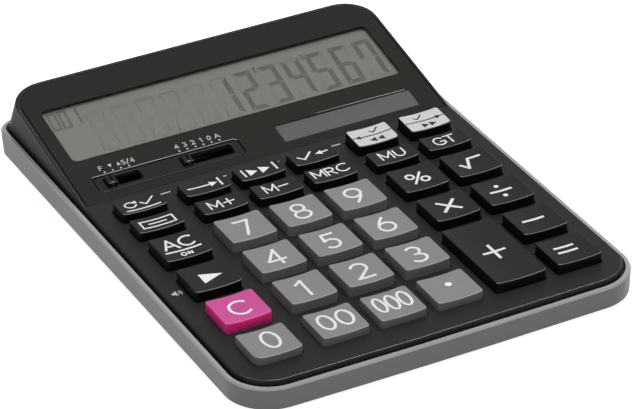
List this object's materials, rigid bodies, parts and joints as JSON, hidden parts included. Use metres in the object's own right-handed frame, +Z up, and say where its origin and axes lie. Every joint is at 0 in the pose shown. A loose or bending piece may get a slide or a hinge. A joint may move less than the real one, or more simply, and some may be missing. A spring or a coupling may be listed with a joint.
{
  "type": "desktop calculator",
  "caption": "Desktop calculator with a sloped display, sprung number and function keys, two slide switches, a solar cell and a button cell, resting on four feet.",
  "frame": {"origin": "centre of the case's outline on the table", "axes": "+Z up, +Y to the rear where the display is, +X to the right"},
  "size_m": [0.14, 0.1908, 0.035],
  "materials": {
    "grey_case": "satin moulded grey",
    "black_case": "fine matt black",
    "black_gloss": "smooth black",
    "clear_window": "clear",
    "lcd": "grey green, slightly matt",
    "white_plastic": "matt",
    "amber_film": "smooth film",
    "solar": "dark with fine cell lines",
    "mat_rubber": "matt",
    "board": "solder mask",
    "steel": "bright zinc",
    "brass": "bright",
    "black_rubber": "matt",
    "grey_key": "fine satin",
    "black_key": "fine satin",
    "magenta_key": "fine satin",
    "white_key": "fine satin"
  },
  "bodies": {
    "case": {"lower_case": "grey_case", "upper_case": "black_case", "display_panel": "black_gloss", "lcd_window": "clear_window", "solar_window": "clear_window", "lcd_glass": "lcd", "lcd_holder": "white_plastic", "lcd_ribbon": "amber_film", "solar_cell": "solar", "key_mat": "mat_rubber", "main_board": "board", "battery_cover": "grey_case", "battery_cell": "steel", "battery_contacts": "steel", "buzzer": "brass", "rubber_feet": "black_rubber", "case_screws": "steel", "board_screws": "steel", "holder_screws": "steel", "cover_screw": "steel"},
    "mode_slider": {"mode_switch": "black_case", "mode_switch_wiper": "brass"},
    "decimal_slider": {"decimal_switch": "black_case", "decimal_switch_wiper": "brass"},
    "key_recheck": {"key_recheck": "black_key"},
    "key_go_to": {"key_go_to": "black_key"},
    "key_auto_review": {"key_auto_review": "black_key"},
    "key_correct": {"key_correct": "black_key"},
    "key_check_back": {"key_check_back": "white_key"},
    "key_check_forward": {"key_check_forward": "white_key"},
    "key_display_swap": {"key_display_swap": "black_key"},
    "key_memory_plus": {"key_memory_plus": "black_key"},
    "key_memory_minus": {"key_memory_minus": "black_key"},
    "key_memory_recall": {"key_memory_recall": "black_key"},
    "key_mark_up": {"key_mark_up": "black_key"},
    "key_grand_total": {"key_grand_total": "black_key"},
    "key_all_clear": {"key_all_clear": "black_key"},
    "key_seven": {"key_seven": "grey_key"},
    "key_eight": {"key_eight": "grey_key"},
    "key_nine": {"key_nine": "grey_key"},
    "key_percent": {"key_percent": "black_key"},
    "key_square_root": {"key_square_root": "black_key"},
    "key_shift_right": {"key_shift_right": "black_key"},
    "key_four": {"key_four": "grey_key"},
    "key_five": {"key_five": "grey_key"},
    "key_six": {"key_six": "grey_key"},
    "key_multiply": {"key_multiply": "black_key"},
    "key_divide": {"key_divide": "black_key"},
    "key_clear": {"key_clear": "magenta_key"},
    "key_one": {"key_one": "grey_key"},
    "key_two": {"key_two": "grey_key"},
    "key_three": {"key_three": "grey_key"},
    "key_minus": {"key_minus": "black_key"},
    "key_zero": {"key_zero": "grey_key"},
    "key_double_zero": {"key_double_zero": "grey_key"},
    "key_triple_zero": {"key_triple_zero": "grey_key"},
    "key_point": {"key_point": "grey_key"},
    "key_equals": {"key_equals": "black_key"},
    "key_plus": {"key_plus": "black_key"}
  },
  "joints": [
    {"name": "mode_slide", "type": "slide", "parent": "case", "child": "mode_slider", "axis": [1, 0, 0], "range_m": [0, 0.00882]},
    {"name": "decimal_slide", "type": "slide", "parent": "case", "child": "decimal_slider", "axis": [1, 0, 0], "range_m": [0, 0.0147]},
    {"name": "recheck_press", "type": "slide", "parent": "case", "child": "key_recheck", "axis": [0, 0.0645, -0.9979], "range_m": [0, 0.0018], "stiffness_N_per_m": 120, "springref_m": -0.003, "deforming": ["key_mat"]},
    {"name": "go_to_press", "type": "slide", "parent": "case", "child": "key_go_to", "axis": [0, 0.0645, -0.9979], "range_m": [0, 0.0018], "stiffness_N_per_m": 120, "springref_m": -0.003, "deforming": ["key_mat"]},
    {"name": "auto_review_press", "type": "slide", "parent": "case", "child": "key_auto_review", "axis": [0, 0.0645, -0.9979], "range_m": [0, 0.0018], "stiffness_N_per_m": 120, "springref_m": -0.003, "deforming": ["key_mat"]},
    {"name": "correct_press", "type": "slide", "parent": "case", "child": "key_correct", "axis": [0, 0.0645, -0.9979], "range_m": [0, 0.0018], "stiffness_N_per_m": 120, "springref_m": -0.003, "deforming": ["key_mat"]},
    {"name": "check_back_press", "type": "slide", "parent": "case", "child": "key_check_back", "axis": [0, 0.0645, -0.9979], "range_m": [0, 0.0018], "stiffness_N_per_m": 120, "springref_m": -0.003, "deforming": ["key_mat"]},
    {"name": "check_forward_press", "type": "slide", "parent": "case", "child": "key_check_forward", "axis": [0, 0.0645, -0.9979], "range_m": [0, 0.0018], "stiffness_N_per_m": 120, "springref_m": -0.003, "deforming": ["key_mat"]},
    {"name": "display_swap_press", "type": "slide", "parent": "case", "child": "key_display_swap", "axis": [0, 0.0645, -0.9979], "range_m": [0, 0.0018], "stiffness_N_per_m": 120, "springref_m": -0.003, "deforming": ["key_mat"]},
    {"name": "memory_plus_press", "type": "slide", "parent": "case", "child": "key_memory_plus", "axis": [0, 0.0645, -0.9979], "range_m": [0, 0.0018], "stiffness_N_per_m": 120, "springref_m": -0.003, "deforming": ["key_mat"]},
    {"name": "memory_minus_press", "type": "slide", "parent": "case", "child": "key_memory_minus", "axis": [0, 0.0645, -0.9979], "range_m": [0, 0.0018], "stiffness_N_per_m": 120, "springref_m": -0.003, "deforming": ["key_mat"]},
    {"name": "memory_recall_press", "type": "slide", "parent": "case", "child": "key_memory_recall", "axis": [0, 0.0645, -0.9979], "range_m": [0, 0.0018], "stiffness_N_per_m": 120, "springref_m": -0.003, "deforming": ["key_mat"]},
    {"name": "mark_up_press", "type": "slide", "parent": "case", "child": "key_mark_up", "axis": [0, 0.0645, -0.9979], "range_m": [0, 0.0018], "stiffness_N_per_m": 120, "springref_m": -0.003, "deforming": ["key_mat"]},
    {"name": "grand_total_press", "type": "slide", "parent": "case", "child": "key_grand_total", "axis": [0, 0.0645, -0.9979], "range_m": [0, 0.0018], "stiffness_N_per_m": 120, "springref_m": -0.003, "deforming": ["key_mat"]},
    {"name": "all_clear_press", "type": "slide", "parent": "case", "child": "key_all_clear", "axis": [0, 0.0645, -0.9979], "range_m": [0, 0.0018], "stiffness_N_per_m": 120, "springref_m": -0.003, "deforming": ["key_mat"]},
    {"name": "seven_press", "type": "slide", "parent": "case", "child": "key_seven", "axis": [0, 0.0645, -0.9979], "range_m": [0, 0.0018], "stiffness_N_per_m": 120, "springref_m": -0.003, "deforming": ["key_mat"]},
    {"name": "eight_press", "type": "slide", "parent": "case", "child": "key_eight", "axis": [0, 0.0645, -0.9979], "range_m": [0, 0.0018], "stiffness_N_per_m": 120, "springref_m": -0.003, "deforming": ["key_mat"]},
    {"name": "nine_press", "type": "slide", "parent": "case", "child": "key_nine", "axis": [0, 0.0645, -0.9979], "range_m": [0, 0.0018], "stiffness_N_per_m": 120, "springref_m": -0.003, "deforming": ["key_mat"]},
    {"name": "percent_press", "type": "slide", "parent": "case", "child": "key_percent", "axis": [0, 0.0645, -0.9979], "range_m": [0, 0.0018], "stiffness_N_per_m": 120, "springref_m": -0.003, "deforming": ["key_mat"]},
    {"name": "square_root_press", "type": "slide", "parent": "case", "child": "key_square_root", "axis": [0, 0.0645, -0.9979], "range_m": [0, 0.0018], "stiffness_N_per_m": 120, "springref_m": -0.003, "deforming": ["key_mat"]},
    {"name": "shift_right_press", "type": "slide", "parent": "case", "child": "key_shift_right", "axis": [0, 0.0645, -0.9979], "range_m": [0, 0.0018], "stiffness_N_per_m": 120, "springref_m": -0.003, "deforming": ["key_mat"]},
    {"name": "four_press", "type": "slide", "parent": "case", "child": "key_four", "axis": [0, 0.0645, -0.9979], "range_m": [0, 0.0018], "stiffness_N_per_m": 120, "springref_m": -0.003, "deforming": ["key_mat"]},
    {"name": "five_press", "type": "slide", "parent": "case", "child": "key_five", "axis": [0, 0.0645, -0.9979], "range_m": [0, 0.0018], "stiffness_N_per_m": 120, "springref_m": -0.003, "deforming": ["key_mat"]},
    {"name": "six_press", "type": "slide", "parent": "case", "child": "key_six", "axis": [0, 0.0645, -0.9979], "range_m": [0, 0.0018], "stiffness_N_per_m": 120, "springref_m": -0.003, "deforming": ["key_mat"]},
    {"name": "multiply_press", "type": "slide", "parent": "case", "child": "key_multiply", "axis": [0, 0.0645, -0.9979], "range_m": [0, 0.0018], "stiffness_N_per_m": 120, "springref_m": -0.003, "deforming": ["key_mat"]},
    {"name": "divide_press", "type": "slide", "parent": "case", "child": "key_divide", "axis": [0, 0.0645, -0.9979], "range_m": [0, 0.0018], "stiffness_N_per_m": 120, "springref_m": -0.003, "deforming": ["key_mat"]},
    {"name": "clear_press", "type": "slide", "parent": "case", "child": "key_clear", "axis": [0, 0.0645, -0.9979], "range_m": [0, 0.0018], "stiffness_N_per_m": 120, "springref_m": -0.003, "deforming": ["key_mat"]},
    {"name": "one_press", "type": "slide", "parent": "case", "child": "key_one", "axis": [0, 0.0645, -0.9979], "range_m": [0, 0.0018], "stiffness_N_per_m": 120, "springref_m": -0.003, "deforming": ["key_mat"]},
    {"name": "two_press", "type": "slide", "parent": "case", "child": "key_two", "axis": [0, 0.0645, -0.9979], "range_m": [0, 0.0018], "stiffness_N_per_m": 120, "springref_m": -0.003, "deforming": ["key_mat"]},
    {"name": "three_press", "type": "slide", "parent": "case", "child": "key_three", "axis": [0, 0.0645, -0.9979], "range_m": [0, 0.0018], "stiffness_N_per_m": 120, "springref_m": -0.003, "deforming": ["key_mat"]},
    {"name": "minus_press", "type": "slide", "parent": "case", "child": "key_minus", "axis": [0, 0.0645, -0.9979], "range_m": [0, 0.0018], "stiffness_N_per_m": 120, "springref_m": -0.003, "deforming": ["key_mat"]},
    {"name": "zero_press", "type": "slide", "parent": "case", "child": "key_zero", "axis": [0, 0.0645, -0.9979], "range_m": [0, 0.0018], "stiffness_N_per_m": 120, "springref_m": -0.003, "deforming": ["key_mat"]},
    {"name": "double_zero_press", "type": "slide", "parent": "case", "child": "key_double_zero", "axis": [0, 0.0645, -0.9979], "range_m": [0, 0.0018], "stiffness_N_per_m": 120, "springref_m": -0.003, "deforming": ["key_mat"]},
    {"name": "triple_zero_press", "type": "slide", "parent": "case", "child": "key_triple_zero", "axis": [0, 0.0645, -0.9979], "range_m": [0, 0.0018], "stiffness_N_per_m": 120, "springref_m": -0.003, "deforming": ["key_mat"]},
    {"name": "point_press", "type": "slide", "parent": "case", "child": "key_point", "axis": [0, 0.0645, -0.9979], "range_m": [0, 0.0018], "stiffness_N_per_m": 120, "springref_m": -0.003, "deforming": ["key_mat"]},
    {"name": "equals_press", "type": "slide", "parent": "case", "child": "key_equals", "axis": [0, 0.0645, -0.9979], "range_m": [0, 0.0018], "stiffness_N_per_m": 120, "springref_m": -0.003, "deforming": ["key_mat"]},
    {"name": "plus_press", "type": "slide", "parent": "case", "child": "key_plus", "axis": [0, 0.0645, -0.9979], "range_m": [0, 0.0018], "stiffness_N_per_m": 160, "springref_m": -0.003, "deforming": ["key_mat"]}
  ]
}
